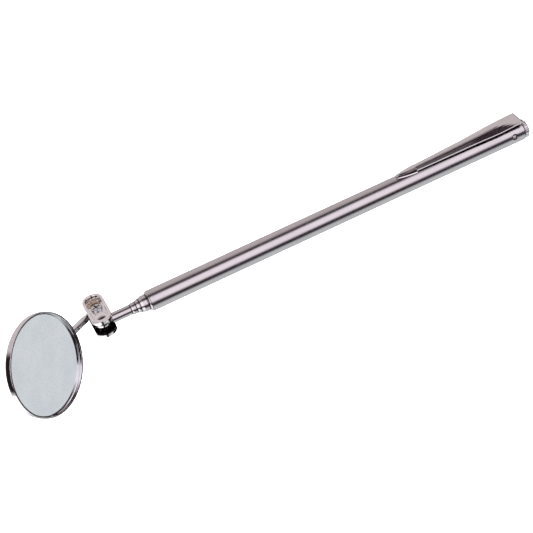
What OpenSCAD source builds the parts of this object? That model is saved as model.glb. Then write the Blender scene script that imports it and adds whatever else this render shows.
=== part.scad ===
// Telescoping inspection mirror, closed: a pocket-size drawn steel barrel with a clip,
// four nested sections, a two-ball clamp and a round mirror in a pressed cup.
// Millimetres. The origin is the centre of the cap's end face. +X runs out of the cap along
// the handle, so the mirror lies at -X, and +Z is the normal of the clamp plates.

/* [Barrel and cap] */
// Outside diameter of the barrel
barrel_od = 7.0; // [6.8:0.1:7.4]
// Length of the barrel from its mouth to its rear edge
barrel_len = 135.8; // [110:0.1:160]
// Wall thickness of the barrel
barrel_wall = 0.45; // [0.4:0.01:0.5]
// Length of the cap's head behind the barrel
cap_head_len = 2.0; // [1.5:0.1:3]
// Length of the cap's plug inside the barrel
cap_plug_len = 6.0; // [4:0.1:10]
// How far the clip sits round the barrel from +Z, towards -Y, in degrees
clip_turn = 5; // [-20:1:20]

/* [Pocket clip] */
// Length of the clip along the barrel
clip_len = 46; // [40:0.1:50]
// Width of the clip's flat head
clip_head_w = 6.4; // [5.6:0.1:6.8]
// Width of the clip where its bead starts
clip_tip_w = 3.3; // [2.8:0.1:4]
// Height of the head's outer face above the barrel's axis
clip_head_h = 5.4; // [5.2:0.1:5.8]
// Height of the clip's ridge where it is highest
clip_ridge_h = 6.35; // [6:0.05:6.8]
// Height of the ridge where the bead starts
clip_tip_h = 4.95; // [4.8:0.05:5.2]
// Thickness of the clip's sheet
clip_t = 0.4; // [0.35:0.01:0.5]
// Length of the bead under the clip's tip
bead_len = 6.9; // [5:0.1:8]

/* [Sections] */
// Outside diameter of section 2
section_2_od = 5.5; // [5.3:0.1:5.7]
// Outside diameter of section 3
section_3_od = 4.6; // [4.5:0.05:4.7]
// Outside diameter of section 4
section_4_od = 3.96; // [3.9:0.02:4.0]
// Outside diameter of section 5
section_5_od = 3.44; // [3.4:0.02:3.46]
// Wall thickness of section 5, which carries the ball's plug
section_5_wall = 0.42; // [0.35:0.01:0.5]
// How far the mouth of section 2 stands out of the barrel when closed
section_2_show = 2.56; // [1:0.01:4]
// How far the mouth of section 3 stands out of section 2 when closed
section_3_show = 1.33; // [1:0.01:3]
// How far the mouth of section 4 stands out of section 3 when closed
section_4_show = 1.74; // [1:0.01:3]
// Radial clearance of a section in the mouth around it
mouth_clearance = 0.04; // [0.02:0.01:0.06]
// Length of a friction bush's collar, which runs in the bore around it
collar_len = 6.0; // [4:0.5:8]
// Length of a friction bush's shank, which is pressed into its own section
shank_len = 3.0; // [2:0.5:4]

/* [Clamp] */
// Distance from the barrel's mouth to the centre of the rod's ball
ball_reach = 15.3; // [14:0.1:18]
// Diameter of both balls
ball_d = 4.8; // [4.6:0.1:4.8]
// Distance between the balls
ball_pitch = 8.0; // [7.6:0.1:9]
// Length of a clamp plate
plate_len = 16.26; // [15.5:0.01:18]
// Width of a clamp plate
plate_w = 6.88; // [6.6:0.01:7.4]
// Height of a plate's outer face above the balls' plane
plate_out = 3.26; // [3.2:0.01:3.4]
// Height of a plate's inner face above the balls' plane
plate_in = 2.0; // [1.95:0.01:2.05]
// Diameter of the clamp screw's shank
screw_d = 2.4; // [2.2:0.1:2.5]

/* [Mirror] */
// Outside diameter of the mirror's cup
cup_od = 32.0; // [30:0.1:34]
// Depth of the cup
cup_depth = 2.76; // [2.6:0.01:3.2]
// Distance from the mirror's ball to the middle of the mirror
stem_reach = 31.85; // [30:0.01:34]
// Diameter of the stem
stem_d = 2.5; // [2.2:0.1:2.6]
// Direction of the stem, seen from above the clamp, counted from +X, in degrees
stem_swing = -138.8; // [-142:0.1:-136]
// Climb of the stem above the clamp's plane, in degrees
stem_lift = 9.2; // [0:0.1:9.5]
// Roll of the mirror's face about the stem, in degrees
mirror_roll = -80.5; // [-180:0.1:180]

/* [Hidden] */
$fn = 96;
running = 0.03;         // radial clearance of a collar in the bore around it
press = 0.01;           // radial clearance of a pressed or staked piece in its own body
gap = 0.5;              // end gap between nested pieces when closed
barrel_r = barrel_od / 2;
barrel_bore = barrel_r - barrel_wall;
barrel_rear = -cap_head_len;
barrel_front = barrel_rear - barrel_len;
barrel_mouth_len = 1.2; // length of the barrel's rolled mouth
section_mouth_len = 0.7;
mouth_edge = 0.05;      // width of the flat edge round a section's mouth
swage_angle = 24;       // slope of the taper that closes a section down to its mouth
bore_step = 0.2;        // length of the slope from a rolled mouth to the bore behind it
section_od = [section_2_od, section_3_od, section_4_od, section_5_od];
section_wall = [0.25, 0.18, 0.14, section_5_wall];
section_show = [section_2_show, section_3_show, section_4_show];
rear_stop = barrel_rear - cap_plug_len;
rod_ball_x = barrel_front - ball_reach;
ball_r = ball_d / 2;
seat_r = ball_r + running;
pin_r = 0.8;            // radius of the spigot that carries a ball
pin_bore_r = pin_r + 0.04;      // a running fit on the spigot
pin_depth = 1.6;        // how far a spigot goes past its ball's centre
neck_gap = 0.05;        // end gap between a ball and the shoulder beside it
tube_gap = 0.35;        // end gap between the rod's ball and the last section
stem_r = stem_d / 2;

// Outside radius of tube i, where 0 is the barrel and 1 to 4 are sections 2 to 5
function tube_r(i) = i == 0 ? barrel_r : section_od[i - 1] / 2;
// Bore radius of tube i
function bore_r(i) = i == 0 ? barrel_bore : tube_r(i) - section_wall[i - 1];
// Front end of tube i when the tool is closed
function front_x(i) = i == 0 ? barrel_front : i == 4 ? rod_ball_x + ball_r + tube_gap
                    : front_x(i - 1) - section_show[i - 1];
// Rear end of the collar on tube i, where each nests in front of the shank behind it
function collar_rear_x(i) = rear_stop - gap - (i - 1) * (collar_len + shank_len + gap);
// Rear end of tube i itself, which butts against its collar
function rear_x(i) = i == 0 ? barrel_rear : collar_rear_x(i) - collar_len;
// Points of a quarter round from angle a, about a centre [r, x], of radius q
function quarter(centre, q, a, steps = 6) =
    [for (k = [0 : steps]) centre + q * [cos(a + 90 * k / steps), sin(a + 90 * k / steps)]];

// ---- Placing ------------------------------------------------------------------------

// Turns a profile of [radius, x] points about the handle's axis
module turned(points) {
    rotate([0, 90, 0])
        rotate_extrude()
            polygon(points);
}

// A rod along X from x0 to x1
module rod_x(r, x0, x1) {
    translate([min(x0, x1), 0, 0])
        rotate([0, 90, 0])
            cylinder(r = r, h = abs(x1 - x0));
}

// The clip's own frame: X along the barrel, Y across the clip, Z out of the barrel
module on_clip_side() {
    rotate([clip_turn, 0, 0])
        children();
}

// The clamp's own frame, half way between its balls
module at_clamp() {
    translate([rod_ball_x, ball_pitch / 2, 0])
        children();
}

// The mirror's own frame: origin at its ball, X along the stem, Z out of the glass
module at_mirror() {
    translate([rod_ball_x, ball_pitch, 0])
        rotate([0, 0, stem_swing])
            rotate([0, -stem_lift, 0])
                rotate([mirror_roll, 0, 0])
                    children();
}

// ---- Handle -------------------------------------------------------------------------

stake_r = 1.1;          // outside of the ring punched round the pin that holds the cap
stake_dome_r = 0.75;    // radius of the pin's domed head
stake_depth = 0.3;
stake_x = barrel_rear - 3.8;
stake_turn = 80;        // from +Z towards -Y, in degrees
notch_w = 3.3;          // width of the notch that lets the clip's tab into the barrel
notch_len = 0.72;
notch_h = 1.8;          // height of the notch's floor in the cap

// The barrel: a drawn tube with a rolled mouth, with a ring punched on two sides to hold the cap
module outer_tube() {
    mouth = tube_r(1) + mouth_clearance;
    nose = barrel_r - mouth;
    color("silver")
        difference() {
            turned(concat(
                [[barrel_bore, barrel_rear], [barrel_r, barrel_rear]],
                [for (p = quarter([0, 0], nose, 0)) [mouth + p[0], barrel_front + nose - p[1]]],
                [[mouth, barrel_front + barrel_mouth_len],
                 [barrel_bore, barrel_front + barrel_mouth_len + bore_step]]));
            for (turn = [stake_turn, stake_turn + 180])
                rotate([turn, 0, 0])
                    translate([stake_x, 0, barrel_r])
                        difference() {
                            translate([0, 0, -stake_depth])
                                cylinder(r = stake_r, h = 1);
                            translate([0, 0, -stake_dome_r])
                                sphere(r = stake_dome_r);
                        }
            on_clip_side()
                translate([barrel_rear - notch_len, -notch_w / 2, notch_h])
                    cube([notch_len + 1, notch_w, barrel_r]);
        }
}

// The cap: a chrome plug with a milled edge, slotted where the clip's tab comes in
module end_cap() {
    head_r = 3.2;
    chamfer = 0.35;
    plug_r = barrel_bore - press;
    lead = 0.4;                          // chamfer at the plug's inner end
    neck_r = plug_r - 0.4;
    neck_end = barrel_rear + 0.4;
    slope = 0.1;                         // run of the steps down to the neck
    teeth = 24;
    tooth_gap_r = 0.28;                  // the milling cutter, whose centre is just outside the head
    tooth_gap_h = head_r + 0.12;
    color("gainsboro")
        difference() {
            turned([[0, rear_stop], [plug_r - lead, rear_stop], [plug_r, rear_stop + lead],
                    [plug_r, barrel_rear], [neck_r, barrel_rear + slope], [neck_r, neck_end],
                    [head_r, neck_end + slope], [head_r, -chamfer], [head_r - chamfer, 0], [0, 0]]);
            for (k = [0 : teeth - 1])
                rotate([k * 360 / teeth, 0, 0])
                    translate([0, 0, tooth_gap_h])
                        rod_x(tooth_gap_r, neck_end, 1);
            on_clip_side()
                translate([barrel_rear - notch_len - slope, -notch_w / 2, notch_h])
                    cube([notch_len + slope, notch_w, barrel_r]);
        }
}

clip_x0 = barrel_rear - 0.12;        // the clip's rear end
bead_s = clip_len - bead_len;        // distances along the clip are counted from its head
bead_clear = 0.08;                   // between the bead and the barrel
bead_w = 2.8;                        // width of the bead's upper face where it starts
tip_taper = 0.6;                     // share of its width that the bead loses towards the tip
bead_draft = 0.28;                   // slope of the bead's side walls
bead_foot_w = 0.24;                  // how far and how high the walls flare out at their foot
bead_foot_h = 0.36;
tab_w = 3.0;
tab_inset = 0.05;                    // how far the tab lies inside the clip's rear end
tab_foot_h = 2.0;                    // the tab hooks inside the barrel, down to this height
head_bend = 0.2;                     // drop of the bent end edge
edge_bulge = 0.12;                   // how far the strip's rounded edges stand out

// Shape of the pressed strip, as [distance from the head, value]: the half width and height of
// its edges, and the half width and height of the ridge that rises out of the flat head
edge_w = [[0, clip_head_w / 2], [9, clip_head_w / 2], [15, 2.75], [20, 2.4], [bead_s, clip_tip_w / 2]];
edge_h = [[0, clip_head_h - head_bend], [0.4, clip_head_h], [3, clip_head_h], [9, 5.1], [15, 4.95],
          [22, 4.7], [bead_s - 0.05, 4.3], [bead_s, 4.65], [clip_len, 4.35]];
ridge_w = [[0, clip_head_w / 2], [2.5, 2.9], [6, 1.5], [9, 0.85], [bead_s, 0.5], [clip_len, 0.25]];
ridge_h = [[0, clip_head_h - head_bend], [0.4, clip_head_h], [3, 5.6], [6, 6.15], [9, clip_ridge_h],
           [15, 5.95], [22, 5.6], [bead_s, clip_tip_h], [clip_len, 4.6]];
clip_stations = [0, 0.4, each [3 : 1.5 : 9], each [12 : 4 : 36], bead_s - 0.05,
                 for (t = [0, 0.3, 0.55, 0.75, 0.9, 1]) bead_s + t * bead_len];
ridge_ease = 0.15;                   // eased corner of the ridge, as a share of the half width

// Half width of the strip at s; past the bead's start its outline is a blunt leaf
function clip_w(s) =
    s < bead_s ? lookup(s, edge_w) : bead_w / 2 * (1 - tip_taper * pow((s - bead_s) / bead_len, 1.8));
// How far down from ridge to edge the upper face is at a share v of the half width, where the
// ridge takes up v0
function roof(v, v0) =
    v < v0 - ridge_ease ? 0
    : (v > v0 + ridge_ease ? v - v0 : pow(v - v0 + ridge_ease, 2) / (4 * ridge_ease)) / (1 - v0);
function ridge_share(s) = min(0.99 - ridge_ease, lookup(s, ridge_w) / clip_w(s));
function clip_top(s, v) =
    let (ridge = lookup(s, ridge_h), edge = lookup(s, edge_h))
    ridge - (ridge - edge) * roof(v, ridge_share(s));
// The lower face is parallel to the upper one, and the bead fills the space down to the barrel
function clip_under(s, v) =
    s < bead_s ? clip_top(s, v) - clip_t
               : sqrt(pow(barrel_r + bead_clear, 2) - pow(v * clip_w(s), 2));

// The two points that round the strip's edge or flare the bead's side wall, from the top down, as
// [distance outwards from the half width, height]
function clip_side(s) =
    let (top = clip_top(s, 1), foot = clip_under(s, 1) + bead_foot_h, out = bead_draft * (top - foot))
    s < bead_s ? [[0.6 * edge_bulge, top - clip_t / 4], [edge_bulge, top - clip_t / 2]]
               : [[out, foot], [out + bead_foot_w, foot - 0.8 * bead_foot_h]];

// The clip: one strip pressed into a ridge, with a tab at its head and a bead at its tip
module pocket_clip() {
    across = 5;                      // steps from the middle to an edge
    ring = 4 * across + 6;
    under = 2 * across + 3;          // first point of a station's lower face
    last = (len(clip_stations) - 1) * ring;
    points = [for (s = clip_stations)
        let (x = clip_x0 - s, w = clip_w(s), side = clip_side(s))
        each concat(
            [for (k = [across : -1 : -across]) [x, w * k / across, clip_top(s, abs(k) / across)]],
            [for (p = side) [x, -w - p[0], p[1]]],
            [for (k = [-across : across]) [x, w * k / across, clip_under(s, abs(k) / across)]],
            [for (p = [side[1], side[0]]) [x, w + p[0], p[1]]])];
    sides = [for (i = [0 : len(clip_stations) - 2], j = [0 : ring - 1])
        let (a = i * ring + j, b = i * ring + (j + 1) % ring)
        each [[a, b, b + ring], [a, b + ring, a + ring]]];
    // The end faces, in slices between the upper and the lower face, with two triangles at each side
    slices = [for (j = [0 : under - 4]) [j, j + 1, ring - 4 - j, ring - 3 - j]];
    corners = [[under - 3, under - 2, under], [under - 2, under - 1, under],
               [ring - 3, ring - 2, ring - 1], [ring - 3, ring - 1, 0]];
    ends = concat([for (f = concat(slices, corners)) [for (k = [len(f) - 1 : -1 : 0]) f[k]]],
                  [for (f = concat(slices, corners)) [for (k = f) last + k]]);
    color("lightgray")
        on_clip_side() {
            polyhedron(points, concat(sides, ends));
            translate([clip_x0 - clip_t - tab_inset, -tab_w / 2, tab_foot_h])
                cube([clip_t, tab_w, clip_head_h - clip_t / 2 - head_bend - tab_foot_h]);
        }
}

// ---- Sections -----------------------------------------------------------------------

// A drawn section whose front end is swaged down to the next smaller one
module section_tube(i) {
    mouth = tube_r(i + 1) + mouth_clearance;
    swage_len = (tube_r(i) - mouth - mouth_edge) / tan(swage_angle);
    turned([[bore_r(i), rear_x(i)], [tube_r(i), rear_x(i)],
            [tube_r(i), front_x(i) + swage_len], [mouth + mouth_edge, front_x(i)],
            [mouth, front_x(i)], [mouth, front_x(i) + section_mouth_len],
            [bore_r(i), front_x(i) + section_mouth_len + bore_step]]);
}

// A friction bush: its shank is pressed into section i, and its split collar springs
// against the bore around it and stops against that tube's rolled mouth
module friction_bush(i) {
    collar_r = bore_r(i - 1) - running;
    shank_r = bore_r(i) - press;
    hole_r = shank_r - 0.35;
    slit_w = 0.35;
    slit_x = rear_x(i) + 1.2;            // the slits stop short of the collar's front end
    chamfer = 0.12;
    difference() {
        turned([[hole_r, collar_rear_x(i)], [collar_r - chamfer, collar_rear_x(i)],
                [collar_r, collar_rear_x(i) - chamfer], [collar_r, rear_x(i)],
                [shank_r, rear_x(i)], [shank_r, rear_x(i) - shank_len],
                [hole_r, rear_x(i) - shank_len]]);
        for (a = [45, 135])
            rotate([a, 0, 0])
                translate([slit_x, -slit_w / 2, -collar_r])
                    cube([collar_len, slit_w, 2 * collar_r]);
    }
}

module section_2_tube() {
    color("silver") section_tube(1);
}

module section_3_tube() {
    color("silver") section_tube(2);
}

module section_4_tube() {
    color("silver") section_tube(3);
}

// The last section is a plain thick-walled tube that ends in the ball's spigot
module section_5_tube() {
    chamfer = 0.25;
    color("silver")
        turned([[bore_r(4), rear_x(4)], [tube_r(4), rear_x(4)], [tube_r(4), front_x(4) + chamfer],
                [tube_r(4) - chamfer, front_x(4)], [bore_r(4), front_x(4)]]);
}

module section_2_bush() {
    color("goldenrod") friction_bush(1);
}

module section_3_bush() {
    color("goldenrod") friction_bush(2);
}

module section_4_bush() {
    color("goldenrod") friction_bush(3);
}

module section_5_bush() {
    color("goldenrod") friction_bush(4);
}

// ---- Ball joints --------------------------------------------------------------------

// A drilled ball at the origin, its blind hole open towards +X, where the sphere's pole lies
module drilled_ball() {
    difference() {
        rotate([0, 90, 0])
            sphere(r = ball_r);
        rod_x(pin_bore_r, -pin_depth - 0.1, ball_r + 1);
    }
}

// A spigot along +X that carries a ball: the pin, then a shoulder up to x1
module spigot(shoulder_r, x1) {
    rod_x(pin_r, -pin_depth, ball_r + neck_gap + 0.1);
    rod_x(shoulder_r, ball_r + neck_gap, x1);
}

// The plug that is pressed into the last section and carries the rod's ball
module rod_spigot() {
    shoulder_r = 1.15;
    plug_start = ball_r + 0.5;
    plug_len = 7;
    color("gainsboro")
        translate([rod_ball_x, 0, 0]) {
            spigot(shoulder_r, plug_start + 0.5);
            rod_x(bore_r(4) - press, plug_start, plug_start + plug_len);
        }
}

module rod_ball() {
    color("gainsboro")
        translate([rod_ball_x, 0, 0])
            drilled_ball();
}

module mirror_ball() {
    color("gainsboro")
        at_mirror()
            drilled_ball();
}

// ---- Clamp --------------------------------------------------------------------------

plate_r = plate_w / 2;
plate_ends = plate_len / 2 - plate_r;    // distance of the end rounds' centres
rim_w = 1.1;                             // raised rim round the plate's outer face
field = plate_out - 0.5;                 // height of the sunk field inside the rim
dome_r = plate_out + 0.2;                // outside of the dimples over the balls
screw_clear = 0.1;                       // radial clearance of the screw in the plates

plate_round = 0.3;                       // radius of the plate's outer edge
plate_chamfer = 0.1;                     // chamfer of its inner edge
rim_slope = 0.2;                         // run of the rim's inner wall

// Half section of a plate, [distance from its middle line, height]
function plate_half() = concat(
    [[0, plate_in], [plate_r - plate_chamfer, plate_in], [plate_r, plate_in + plate_chamfer]],
    quarter([plate_r - plate_round, plate_out - plate_round], plate_round, 0),
    [[plate_r - rim_w + rim_slope, plate_out], [plate_r - rim_w, field], [0, field]]);

// One stamping, its outer face up: a rim round a sunk field, with a dimple over each ball
module clamp_plate() {
    at_clamp()
        difference() {
            union() {
                for (turn = [0, 180]) {
                    rotate([0, 0, turn])
                        translate([0, plate_ends, 0])
                            rotate_extrude(angle = 180)
                                polygon(plate_half());
                    rotate([90, 0, turn])
                        linear_extrude(2 * plate_ends, center = true)
                            polygon(plate_half());
                }
                for (side = [-1, 1])
                    translate([0, side * ball_pitch / 2, 0])
                        intersection() {
                            sphere(r = dome_r);
                            translate([0, 0, plate_in])
                                cylinder(r = plate_r - rim_w, h = plate_out);
                        }
            }
            for (side = [-1, 1])
                translate([0, side * ball_pitch / 2, 0])
                    sphere(r = seat_r);
            cylinder(r = screw_d / 2 + screw_clear, h = 3 * plate_out, center = true);
        }
}

module front_clamp_plate() {
    color("lightgray") clamp_plate();
}

module rear_clamp_plate() {
    color("lightgray")
        mirror([0, 0, 1])
            clamp_plate();
}

washer_t = 0.6;
nut_t = 2.0;
nut_af = 5.0;
screw_end = field + washer_t + nut_t + 0.5;      // how far the screw reaches behind the balls' plane

// The screw between the balls: a low round head with a cross recess
module clamp_screw() {
    head_r = 1.9;
    head_h = 0.75;
    head_round = 0.45;
    head_crown = 0.05;                   // rise of the head's middle
    recess_w = 0.55;
    recess_len = 2.6;
    recess_depth = 0.6;
    chamfer = 0.2;
    color("gainsboro")
        at_clamp()
            difference() {
                rotate_extrude()
                    polygon(concat(
                        [[0, -screw_end], [screw_d / 2 - chamfer, -screw_end],
                         [screw_d / 2, -screw_end + chamfer], [screw_d / 2, field],
                         [head_r, field]],
                        quarter([head_r - head_round, field + head_h - head_round], head_round, 0),
                        [[0, field + head_h + head_crown]]));
                for (a = [20, 110])
                    rotate([0, 0, a])
                        translate([-recess_len / 2, -recess_w / 2, field + head_h - recess_depth])
                            cube([recess_len, recess_w, 1]);
            }
}

// A split spring washer under the nut
module lock_washer() {
    washer_r = 1.95;
    slit_w = 0.35;
    slit_turn = 65;
    color("darkgray")
        at_clamp()
            difference() {
                translate([0, 0, -field - washer_t])
                    cylinder(r = washer_r, h = washer_t);
                cylinder(r = screw_d / 2 + screw_clear, h = 2 * screw_end, center = true);
                rotate([0, 0, slit_turn])
                    translate([0, -slit_w / 2, -screw_end])
                        cube([2 * washer_r, slit_w, screw_end]);
            }
}

// The nut behind the rear plate, with its corners chamfered
module clamp_nut() {
    corner_r = nut_af / 2 / cos(30);
    chamfer = 0.3;
    outer_r = corner_r + 0.05;           // the chamfering cone leaves the nut's other end whole
    color("silver")
        at_clamp()
            translate([0, 0, -field - washer_t - nut_t])
                difference() {
                    intersection() {
                        cylinder(r = corner_r, h = nut_t, $fn = 6);
                        rotate_extrude()
                            polygon([[0, 0], [corner_r - chamfer, 0], [outer_r, chamfer],
                                     [outer_r, nut_t], [0, nut_t]]);
                    }
                    translate([0, 0, -1])
                        cylinder(r = screw_d / 2 + press, h = nut_t + 2);
                }
}

// ---- Mirror -------------------------------------------------------------------------

cup_r = cup_od / 2;
cup_base = 0.4;
pad_t = 0.3;
glass_t = 0.9;
glass_r = cup_r - 0.6;
lip_in = cup_r - 0.85;                   // inner edge of the ledge that holds the glass
glass_top = cup_base + pad_t + glass_t;
foot_t = 1.1;
foot_w = 3.4;
foot_end = stem_reach + 3;

// The stem: round from its neck to the mirror, then swaged flat and welded to the cup
module mirror_stem() {
    neck_r = 1.0;
    neck_end = 5.6;
    round_start = neck_end + 0.5;
    round_end = 13.5;
    foot_start = 18.5;
    weld_r = 0.8;                        // the two dimples of the spot welds
    weld_depth = 0.2;
    foot_low = stem_r - foot_t;
    color("silver")
        at_mirror()
            difference() {
                union() {
                    spigot(neck_r, round_start);
                    turned([[0, neck_end], [neck_r, neck_end], [stem_r, round_start],
                            [stem_r, round_end], [0, round_end]]);
                    hull() {
                        rod_x(stem_r, round_end - 0.1, round_end);
                        translate([foot_start, -foot_w / 2, foot_low])
                            cube([0.1, foot_w, foot_t]);
                    }
                    translate([foot_start, -foot_w / 2, foot_low])
                        cube([foot_end - foot_start, foot_w, foot_t]);
                    translate([foot_end, 0, foot_low])
                        cylinder(r = foot_w / 2, h = foot_t);
                }
                for (x = [stem_reach - 7, stem_reach + 1])
                    translate([x, 0, foot_low + weld_depth - 1])
                        cylinder(r = weld_r, h = 1);
            }
}

// Places a piece of the mirror on the cup's axis, with the cup's back at its zero
module on_cup_axis() {
    at_mirror()
        translate([stem_reach, 0, stem_r])
            children();
}

// The cup: a shallow pressing with a raised rim, beaded inwards over the edge of the glass
module mirror_cup() {
    corner = 1.3;                        // radius between the cup's back and its wall
    wall = 0.4;
    crest = 0.15;                        // radius of the rim's outer edge
    crest_drop = 0.06;                   // the rim's top slopes a little towards the glass
    rim_in = cup_r - 0.6;
    ledge_t = 0.1;
    color("gainsboro")
        on_cup_axis()
            rotate_extrude()
                polygon(concat(
                    [[0, 0]],
                    quarter([cup_r - corner, corner], corner, -90),
                    quarter([cup_r - crest, cup_depth - crest], crest, 0),
                    [[rim_in + crest_drop, cup_depth - crest_drop], [rim_in, cup_depth - 2 * crest_drop],
                     [rim_in, glass_top + 2 * ledge_t], [lip_in, glass_top + ledge_t],
                     [lip_in, glass_top], [cup_r - wall, glass_top],
                     [cup_r - wall, corner], [cup_r - corner - 0.1, cup_base], [0, cup_base]]));
}

// The pad of card between the cup and the glass
module backing_pad() {
    pad_r = cup_r - 1.7;
    color("dimgray")
        on_cup_axis()
            translate([0, 0, cup_base])
                cylinder(r = pad_r, h = pad_t);
}

// The silvered glass, its back edge eased
module mirror_glass() {
    ease = 0.7;
    color("lightsteelblue")
        on_cup_axis()
            rotate_extrude()
                polygon([[0, cup_base + pad_t], [glass_r - ease, cup_base + pad_t],
                         [glass_r, cup_base + pad_t + ease], [glass_r, glass_top],
                         [0, glass_top]]);
}

// ---- Assembly -----------------------------------------------------------------------

outer_tube();
end_cap();
pocket_clip();
section_2_tube();
section_3_tube();
section_4_tube();
section_5_tube();
section_2_bush();
section_3_bush();
section_4_bush();
section_5_bush();
rod_spigot();
rod_ball();
front_clamp_plate();
rear_clamp_plate();
clamp_screw();
lock_washer();
clamp_nut();
mirror_ball();
mirror_stem();
mirror_cup();
backing_pad();
mirror_glass();
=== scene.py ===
"""Looks for the telescoping inspection mirror: metals, glass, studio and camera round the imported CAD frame.

Metres, in the CAD's own frame: +X runs out of the cap along the handle and +Z is the clamp plates' normal.
"""

import math

import bpy
from mathutils import Matrix, Vector


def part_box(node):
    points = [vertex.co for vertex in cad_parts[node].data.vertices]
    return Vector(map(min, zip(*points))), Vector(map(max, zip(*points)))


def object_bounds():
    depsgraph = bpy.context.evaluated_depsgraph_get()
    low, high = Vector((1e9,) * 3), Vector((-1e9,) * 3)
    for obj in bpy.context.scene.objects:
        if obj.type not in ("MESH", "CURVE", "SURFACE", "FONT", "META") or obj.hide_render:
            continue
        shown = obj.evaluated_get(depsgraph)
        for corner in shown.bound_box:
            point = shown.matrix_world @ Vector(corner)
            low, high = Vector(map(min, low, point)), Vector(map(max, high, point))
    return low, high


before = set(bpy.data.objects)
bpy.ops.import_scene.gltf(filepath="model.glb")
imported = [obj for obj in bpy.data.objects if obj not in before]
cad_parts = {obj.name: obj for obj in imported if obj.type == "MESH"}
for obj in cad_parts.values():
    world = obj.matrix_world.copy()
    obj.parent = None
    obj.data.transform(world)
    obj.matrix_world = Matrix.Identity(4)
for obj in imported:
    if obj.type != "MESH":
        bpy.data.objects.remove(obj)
cad_low, cad_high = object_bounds()
MM = 0.001


# ---- Shader building ----------------------------------------------------------------

def add(tree, kind, inputs=None, **settings):
    """Adds a shader node. Inputs are socket values, or sockets to link from; settings are its properties."""
    made = tree.nodes.new("ShaderNode" + kind)
    for key, value in settings.items():
        setattr(made, key, value)
    for key, value in (inputs or {}).items():
        if isinstance(value, bpy.types.NodeSocket):
            tree.links.new(value, made.inputs[key])
        else:
            made.inputs[key].default_value = value
    return made


def new_material(name, **shader_values):
    """A material with one Principled shader. Returns the material, its node tree and the shader."""
    material = bpy.data.materials.new(name)
    material.use_nodes = True
    tree = material.node_tree
    shader = tree.nodes["Principled BSDF"]
    for key, value in shader_values.items():
        shader.inputs[key.replace("_", " ")].default_value = value
    return material, tree, shader


def noise(tree, scale, detail=3.0):
    """Noise fixed to the piece. Scale is how many grains there are in a metre along X, Y and Z."""
    place = add(tree, "TexCoord").outputs["Object"]
    spread = add(tree, "Mapping", {"Vector": place, "Scale": scale}).outputs["Vector"]
    return add(tree, "TexNoise", {"Vector": spread, "Scale": 1.0, "Detail": detail}).outputs["Fac"]


def even_noise(tree, scale, detail=3.0):
    """Noise with as many grains in a metre along each axis."""
    return noise(tree, (scale, scale, scale), detail)


def between(tree, value, low, high, start=0.3, end=0.7):
    """Maps a value from start..end to low..high. The usual start and end are those of a noise."""
    return add(tree, "MapRange", {"Value": value, "From Min": start, "From Max": end,
                                  "To Min": low, "To Max": high}).outputs["Result"]


def product(tree, first, second):
    """The product of two values."""
    return add(tree, "Math", {0: first, 1: second}, operation="MULTIPLY").outputs[0]


def away_from(tree, value, middle):
    """How far a value is from the middle, to either side."""
    past = add(tree, "Math", {0: value, 1: middle}, operation="SUBTRACT").outputs[0]
    return add(tree, "Math", {0: past}, operation="ABSOLUTE").outputs[0]


def part_along(tree, vector, axis):
    """A vector's part along a unit axis."""
    return add(tree, "VectorMath", {0: vector, 1: axis}, operation="DOT_PRODUCT").outputs["Value"]


def mix_colours(tree, fac, first, second):
    """The first colour where fac is 0 and the second where it is 1."""
    mixed = add(tree, "Mix", {"Factor": fac}, data_type="RGBA")
    mixed.inputs[6].default_value = (*first, 1)
    mixed.inputs[7].default_value = (*second, 1)
    return mixed.outputs[2]


def laid_over(tree, under, colour, fac):
    """A colour laid over another one, which is a socket: fac is 0 where it is bare, and 1 where covered."""
    laid = add(tree, "Mix", {"Factor": fac}, data_type="RGBA")
    tree.links.new(under, laid.inputs[6])
    laid.inputs[7].default_value = (*colour, 1)
    return laid.outputs[2]


def film_over(material, amount, colour):
    """Lays a film over a material's colour where amount, a socket from 0 to 1, says."""
    tree = material.node_tree
    base = tree.nodes["Principled BSDF"].inputs["Base Color"]
    tree.links.new(laid_over(tree, base.links[0].from_socket, colour, amount), base)


def bump(tree, height, strength, depth, normal=None):
    """A bump from a height value, with its depth in metres, over another normal if there is one."""
    inputs = {"Height": height, "Strength": strength, "Distance": depth}
    if normal is not None:
        inputs["Normal"] = normal
    return add(tree, "Bump", inputs).outputs["Normal"]


def crevice_shade(tree, reach, alone=True):
    """How much painted shade a face gets: 1 in corners and slots narrower than reach, in metres, and 0 on
    open faces.

    With alone set, only the piece's own faces make a crevice, and not the pieces beside it.
    """
    opened = add(tree, "AmbientOcclusion", {"Distance": reach}, samples=8, only_local=alone).outputs["AO"]
    return between(tree, opened, 1, 0, start=0.35, end=0.75)


# ---- Materials ----------------------------------------------------------------------

# Clean surfaces. A pair is what the noise goes between.
STEEL = (0.66, 0.64, 0.65)
CHROME = (0.82, 0.82, 0.83)
CLIP_CHROME = (0.78, 0.76, 0.76)
PLATE_CHROME = (0.95, 0.94, 0.95)
BRASS = ((0.62, 0.45, 0.2), (0.82, 0.64, 0.33))
ZINC = ((0.63, 0.66, 0.72), (0.74, 0.71, 0.64))
CARD_FIBRE = ((0.2, 0.19, 0.17), (0.36, 0.34, 0.3))
SILVER = ((0.76, 0.79, 0.83), (0.86, 0.875, 0.905))
WHITE_PAPER = ((0.9, 0.9, 0.9), (0.92, 0.92, 0.92))

# What lies on them, and the dark colours of painted shade
# Painted shade in corners, slots and in front of mouths, and real grime along the tarnish's edges
SHADE_AND_GRIME = (0.03, 0.022, 0.02)
# Painted shade on the clip's side towards the barrel and on the plates' inner faces
INNER_SHADE = (0.012, 0.01, 0.01)
TARNISH = (0.6, 0.47, 0.37)
DUST = (0.55, 0.55, 0.56)

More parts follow.
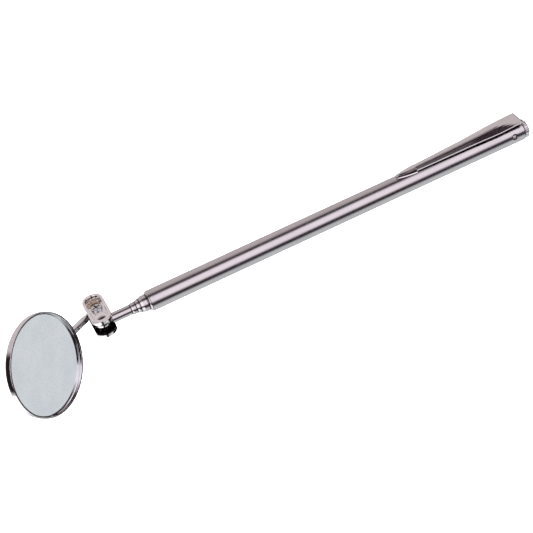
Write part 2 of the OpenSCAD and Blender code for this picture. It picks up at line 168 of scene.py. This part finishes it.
EDGE_ROUND = 0.08 * MM       # how wide a plated edge's highlight is
SLOT_REACH = 0.5 * MM        # painted shade lies in corners and slots narrower than this
RECESS_REACH = 0.6 * MM      # the same for the screw, washer and nut
MOUTH_RING = 0.35 * MM       # how wide the ring of painted shade is in front of a mouth
STAIN_FULL = 3.9 * MM        # how far from the middle of the stem's ball the plates are tarnished
STAIN_END = 4.2 * MM         # how far from it the tarnish has faded out
CLIP_TURN = math.radians(5)  # how far the clip sits round the barrel from +Z, towards -Y
CLIP_OUT = Vector((0, -math.sin(CLIP_TURN), math.cos(CLIP_TURN)))
TUBES = ["outer_tube", "section_2_tube", "section_3_tube", "section_4_tube", "section_5_tube"]


def rounded_edges(tree):
    """A normal that catches light along the piece's sharp edges."""
    return add(tree, "Bevel", {"Radius": EDGE_ROUND}, samples=4).outputs["Normal"]


def satin_steel(name, rough, line_depth):
    """Drawn steel tube, brushed round the handle: fine rings, faint lengthwise sliding marks."""
    material, tree, shader = new_material(name, Metallic=1.0, Anisotropic=0.5)
    rings = noise(tree, (7000, 160, 160))
    slides = noise(tree, (60, 5000, 5000), detail=2.0)
    patches = noise(tree, (90, 200, 200))
    darker = tuple(0.9 * c for c in STEEL)
    tree.links.new(mix_colours(tree, between(tree, patches, 0, 1), darker, STEEL),
                   shader.inputs["Base Color"])
    tree.links.new(between(tree, rings, rough * 0.8, rough * 1.3), shader.inputs["Roughness"])
    tree.links.new(add(tree, "Tangent", direction_type="RADIAL", axis="X").outputs["Tangent"],
                   shader.inputs["Tangent"])
    ringed = bump(tree, rings, strength=0.5, depth=line_depth)
    marked = bump(tree, slides, strength=0.2, depth=line_depth, normal=ringed)
    tree.links.new(marked, shader.inputs["Normal"])
    # Painted shade in slots and corners, also where the pieces round it close them in
    film_over(material, crevice_shade(tree, SLOT_REACH, alone=False), SHADE_AND_GRIME)
    return material


def mouth_shade(material, mouth):
    """A ring of painted shade on a section where it comes out of a mouth, at mouth in metres along X."""
    tree = material.node_tree
    place = add(tree, "TexCoord").outputs["Object"]
    x = add(tree, "SeparateXYZ", {"Vector": place}).outputs["X"]
    off_ring = away_from(tree, x, mouth - MOUTH_RING / 2)
    ring = between(tree, off_ring, 0.75, 0, start=0.4 * MOUTH_RING, end=0.8 * MOUTH_RING)
    # Painted shade in a ring just in front of the mouth
    film_over(material, ring, SHADE_AND_GRIME)


def chrome(name, colour, rough, haze, wave_depth=0.003 * MM):
    """Bright plating: almost smooth, with faint haze and the low waves of the steel under it."""
    material, tree, shader = new_material(name, Metallic=1.0)
    cloud = even_noise(tree, 350)
    specks = even_noise(tree, 4000, detail=1.0)
    waves = even_noise(tree, 500, detail=1.0)
    dull = tuple(0.93 * c for c in colour)
    tree.links.new(mix_colours(tree, between(tree, cloud, 0, 1), dull, colour),
                   shader.inputs["Base Color"])
    hazed = between(tree, specks, rough, rough + haze, start=0.45, end=0.75)
    tree.links.new(hazed, shader.inputs["Roughness"])
    waved = bump(tree, waves, strength=1.0, depth=wave_depth, normal=rounded_edges(tree))
    tree.links.new(waved, shader.inputs["Normal"])
    # Painted shade in the piece's own slots and corners
    film_over(material, crevice_shade(tree, SLOT_REACH), SHADE_AND_GRIME)
    return material


def clip_chrome(name):
    """The clip: plated outside, with painted shade on the side that faces the barrel."""
    material = chrome(name, CLIP_CHROME, rough=0.08, haze=0.1)
    tree = material.node_tree
    outwards = part_along(tree, add(tree, "TexCoord").outputs["Normal"], CLIP_OUT)
    # Painted shade on the faces that look back towards the barrel
    film_over(material, between(tree, outwards, 1, 0, start=-0.75, end=-0.45), INNER_SHADE)
    return material


def tarnish_over(material):
    """Tarnish in blotches over the stem's ball, with grime along each blotch's edge."""
    tree = material.node_tree
    low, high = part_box("mirror_ball")
    place = add(tree, "TexCoord").outputs["Object"]
    off_ball = add(tree, "VectorMath", {0: place, 1: (low + high) / 2}, operation="DISTANCE").outputs["Value"]
    field = between(tree, off_ball, 1, 0, start=STAIN_FULL, end=STAIN_END)
    stain = product(tree, field, between(tree, even_noise(tree, 800), 0, 1, start=0.42, end=0.52))
    film_over(material, stain, TARNISH)
    # The edge is where the stain goes from 0 to 1
    edge = between(tree, away_from(tree, stain, 0.5), 0.85, 0, start=0.25, end=0.48)
    film_over(material, edge, SHADE_AND_GRIME)


def inner_shade_over(material):
    """Painted shade, uneven in blotches, on the faces that look towards Z = 0, which are the inner faces of
    the plates.
    """
    tree = material.node_tree
    place = add(tree, "TexCoord")
    height = add(tree, "SeparateXYZ", {"Vector": place.outputs["Object"]}).outputs["Z"]
    facing = add(tree, "SeparateXYZ", {"Vector": place.outputs["Normal"]}).outputs["Z"]
    # A face looks inwards where its normal and its height have opposite signs
    side = add(tree, "Math", {0: height}, operation="SIGN").outputs[0]
    inwards = between(tree, product(tree, side, facing), 1, 0, start=-0.75, end=-0.3)
    blotches = between(tree, even_noise(tree, 900), 1.0, 0.75, start=0.55, end=0.72)
    # Painted shade on the inner faces, lighter in blotches
    film_over(material, product(tree, inwards, blotches), INNER_SHADE)


def plate_chrome(name):
    """The clamp plates: wavy pressed sheet, tarnished over the stem's ball, with painted shade inside."""
    material = chrome(name, PLATE_CHROME, rough=0.05, haze=0.08, wave_depth=0.02 * MM)
    tarnish_over(material)
    inner_shade_over(material)
    return material


def brass(name):
    """Turned brass of the friction bushes, a little tarnished."""
    material, tree, shader = new_material(name, Metallic=1.0)
    turned = noise(tree, (9000, 120, 120))
    tarnish = even_noise(tree, 500)
    tree.links.new(mix_colours(tree, between(tree, tarnish, 0, 1), *BRASS), shader.inputs["Base Color"])
    tree.links.new(between(tree, turned, 0.22, 0.4), shader.inputs["Roughness"])
    tree.links.new(bump(tree, turned, strength=0.3, depth=0.005 * MM), shader.inputs["Normal"])
    return material


def zinc(name):
    """Zinc plate on the screw, washer and nut: dull, with a faint yellow and blue cast."""
    material, tree, shader = new_material(name, Metallic=1.0)
    cast = even_noise(tree, 700)
    grain = even_noise(tree, 9000, detail=1.0)
    tree.links.new(mix_colours(tree, between(tree, cast, 0, 1), *ZINC), shader.inputs["Base Color"])
    tree.links.new(between(tree, grain, 0.22, 0.42), shader.inputs["Roughness"])
    grained = bump(tree, grain, strength=0.3, depth=0.008 * MM, normal=rounded_edges(tree))
    tree.links.new(grained, shader.inputs["Normal"])
    # Painted shade in the piece's own recesses and corners
    film_over(material, crevice_shade(tree, RECESS_REACH), SHADE_AND_GRIME)
    return material


def card(name):
    """Grey backing card with short fibres."""
    material, tree, shader = new_material(name, Roughness=0.9)
    fibres = noise(tree, (2500, 600, 2500))
    tree.links.new(mix_colours(tree, between(tree, fibres, 0, 1), *CARD_FIBRE), shader.inputs["Base Color"])
    tree.links.new(bump(tree, fibres, strength=0.6, depth=0.02 * MM), shader.inputs["Normal"])
    return material


def mirror_face(name):
    """Silvered glass with a thin film of wiping haze and fine dust."""
    material, tree, shader = new_material(name, Metallic=1.0)
    haze = even_noise(tree, 160, detail=6.0)
    dust = even_noise(tree, 2200, detail=1.0)
    tree.links.new(mix_colours(tree, between(tree, haze, 0, 1), *SILVER), shader.inputs["Base Color"])
    tree.links.new(between(tree, haze, 0.015, 0.06), shader.inputs["Roughness"])
    film_over(material, between(tree, dust, 0, 0.25, start=0.5, end=0.75), DUST)
    return material


def floor_paper(name):
    """White paper with a barely visible grain."""
    material, tree, shader = new_material(name, Roughness=0.9)
    grain = even_noise(tree, 900)
    tree.links.new(mix_colours(tree, between(tree, grain, 0, 1), *WHITE_PAPER), shader.inputs["Base Color"])
    return material


def paint(material, *nodes):
    """Gives a material to CAD nodes."""
    for name in nodes:
        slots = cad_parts[name].data.materials
        slots.clear()
        slots.append(material)


def paint_sections():
    """Each section has its own steel, because its painted shade lies where it comes out of the tube around
    it.
    """
    for around, section in zip(TUBES, TUBES[1:]):
        steel = satin_steel(section.replace("tube", "steel"), rough=0.14, line_depth=0.003 * MM)
        mouth_shade(steel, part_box(around)[0].x)
        paint(steel, section)


def paint_pieces():
    """Gives every CAD node its material."""
    paint(satin_steel("barrel_steel", rough=0.17, line_depth=0.004 * MM), "outer_tube")
    paint_sections()
    paint(chrome("plated_chrome", CHROME, rough=0.04, haze=0.08),
          "end_cap", "rod_ball", "mirror_ball", "rod_spigot", "mirror_stem", "mirror_cup")
    paint(plate_chrome("plate_chrome"), "front_clamp_plate", "rear_clamp_plate")
    paint(clip_chrome("clip_chrome"), "pocket_clip")
    paint(brass("turned_brass"), "section_2_bush", "section_3_bush", "section_4_bush", "section_5_bush")
    paint(zinc("zinc_plate"), "clamp_screw", "lock_washer", "clamp_nut")
    paint(card("grey_card"), "backing_pad")
    paint(mirror_face("silvered_glass"), "mirror_glass")


# ---- Studio -------------------------------------------------------------------------

# What the metal sees round the handle: the angle from straight up (0) towards the camera's side (90)
# and down (180), and the light that comes from there.
PAPER = (0.74, 0.76, 0.77)
WALL = (0.66, 0.59, 0.60)
SOFTBOX = (1.22, 1.12, 1.20)
GAP = (0.03, 0.02, 0.025)
TENT = [(-180, PAPER), (-120, WALL), (-25, WALL), (2, GAP), (14, GAP), (32, SOFTBOX), (72, SOFTBOX),
        (92, GAP), (114, GAP), (134, PAPER), (180, PAPER)]

# The tent's two ends. Towards -X there is a dark slot on the camera's side, then a lit sheet that a
# dark gap crosses, with a dark opening in its middle. Past the cap there is a dark curtain with a
# white card in it, which is what the mirror's face shows.
# A fade gives a direction's part along an axis, first where the thing begins and then where it's full.
SHEET = (1.5, 1.42, 1.46)
CARD = (0.74, 0.76, 0.77)
CURTAIN = (0.02, 0.014, 0.016)
SLOT_LEFT_FADE = (0.0, 0.08)
SLOT_FRONT_FADE = (0.2, 0.4)
SHEET_SIDE = (0, -0.9, -0.3)
SHEET_LEFT_FADE = (0.25, 0.5)
SHEET_SIDE_FADE = (-0.2, 0.1)
GAP_HEIGHT = -0.15      # how far below level the lower dark gap runs across the sheet
GAP_FADE = (0.1, 0.25)
CURTAIN_FADE = (0.38, 0.46)
# A disc is the direction of its centre, and the angles round it where it starts to fade and ends
OPENING_DISC = ((-1, 0.1, 0.15), 24, 38)
CURTAIN_DISC = ((0.81, 0.36, -0.46), 47, 57)
CARD_DISC = ((0.905, -0.185, -0.381), 8, 11)

LAMP_SIZE = 1.2
LAMP_POWER = 60
LAMP_AT = (-0.1, -0.1, 1.2)
FLOOR_HALF = 1.5
FLOOR_Z = -70 * MM

CAMERA_AIM = Vector((-100.06, -9.38, 0)) * MM
CAMERA_DISTANCE = 428.5 * MM
CAMERA_AZIMUTH = math.radians(-12.61)
CAMERA_ELEVATION = math.radians(36.68)
CAMERA_ROLL = math.radians(-17.31)
CAMERA_LENS = 92.35     # in millimetres, for Blender's usual sensor


def light_tent():
    """The world: a soft tent with a bright panel over the camera and two dark gaps, in bands along X."""
    world = bpy.data.worlds.new("light_tent")
    world.use_nodes = True
    bpy.context.scene.world = world
    tree = world.node_tree
    direction = add(tree, "TexCoord").outputs["Generated"]
    split = add(tree, "SeparateXYZ", {"Vector": direction}).outputs

    def along(axis):
        """The direction's part along an axis, from -1 to 1."""
        return part_along(tree, direction, Vector(axis).normalized())

    def rise(value, low, high):
        """Goes smoothly from 0 at low to 1 at high."""
        return add(tree, "MapRange", {"Value": value, "From Min": low, "From Max": high},
                   interpolation_type="SMOOTHSTEP").outputs["Result"]

    def disc(axis, inner, outer):
        """1 within the inner angle of an axis and 0 past the outer one, in degrees."""
        return rise(along(axis), math.cos(math.radians(outer)), math.cos(math.radians(inner)))

    towards_camera = along((0, -1, 0))
    angle = add(tree, "Math", {0: towards_camera, 1: split["Z"]}, operation="ARCTAN2").outputs[0]
    ramp = add(tree, "ValToRGB", {"Fac": between(tree, angle, 0, 1, start=-math.pi, end=math.pi)})
    stops = ramp.color_ramp.elements
    # A new stop's place doesn't matter, because the loop below sets it
    while len(stops) < len(TENT):
        stops.new(0.5)
    for stop, (degrees, colour) in zip(stops, TENT):
        stop.position = (degrees + 180) / 360
        stop.color = (*colour, 1)

    leftwards = along((-1, 0, 0))
    slot = product(tree, rise(leftwards, *SLOT_LEFT_FADE), rise(towards_camera, *SLOT_FRONT_FADE))
    sheet = product(tree, rise(leftwards, *SHEET_LEFT_FADE), rise(along(SHEET_SIDE), *SHEET_SIDE_FADE))
    off_gap = rise(away_from(tree, split["Z"], GAP_HEIGHT), *GAP_FADE)
    curtain = product(tree, disc(*CURTAIN_DISC), rise(split["X"], *CURTAIN_FADE))
    light = ramp.outputs["Color"]
    light = laid_over(tree, light, CURTAIN, slot)
    light = laid_over(tree, light, SHEET, product(tree, sheet, off_gap))
    light = laid_over(tree, light, CURTAIN, disc(*OPENING_DISC))
    light = laid_over(tree, light, CURTAIN, curtain)
    light = laid_over(tree, light, CARD, disc(*CARD_DISC))
    tree.links.new(light, tree.nodes["Background"].inputs["Color"])


def overhead_light():
    """A wide soft light that brightens the floor and isn't seen in the metal."""
    light = bpy.data.lights.new("overhead", "AREA")
    light.size = LAMP_SIZE
    light.energy = LAMP_POWER
    lamp = bpy.data.objects.new("overhead", light)
    lamp.location = LAMP_AT
    lamp.visible_glossy = False
    bpy.context.scene.collection.objects.link(lamp)


def paper_floor():
    """The floor, so far below the handle that the mirror clears it in every pose."""
    middle = (cad_low + cad_high) / 2
    corners = [(middle.x + sx * FLOOR_HALF, middle.y + sy * FLOOR_HALF, FLOOR_Z)
               for sx, sy in ((-1, -1), (1, -1), (1, 1), (-1, 1))]
    mesh = bpy.data.meshes.new("floor")
    mesh.from_pydata(corners, [], [(0, 1, 2, 3)])
    mesh.materials.append(floor_paper("floor_paper"))
    floor = bpy.data.objects.new("floor", mesh)
    floor.visible_glossy = False
    bpy.context.scene.collection.objects.link(floor)


def photo_camera():
    """The photograph's viewpoint: an aim point on the handle's plane, a distance and three angles."""
    data = bpy.data.cameras.new("camera")
    data.lens = CAMERA_LENS
    camera = bpy.data.objects.new("camera", data)
    back = Vector((math.sin(CAMERA_AZIMUTH) * math.cos(CAMERA_ELEVATION),
                   -math.cos(CAMERA_AZIMUTH) * math.cos(CAMERA_ELEVATION),
                   math.sin(CAMERA_ELEVATION)))
    place = Matrix.Translation(CAMERA_AIM + CAMERA_DISTANCE * back)
    upright = (-back).to_track_quat("-Z", "Y").to_matrix().to_4x4()
    camera.matrix_world = place @ upright @ Matrix.Rotation(CAMERA_ROLL, 4, "Z")
    bpy.context.scene.collection.objects.link(camera)
    bpy.context.scene.camera = camera


paint_pieces()
light_tent()
overhead_light()
paper_floor()
photo_camera()
bpy.context.scene.view_settings.view_transform = "Standard"
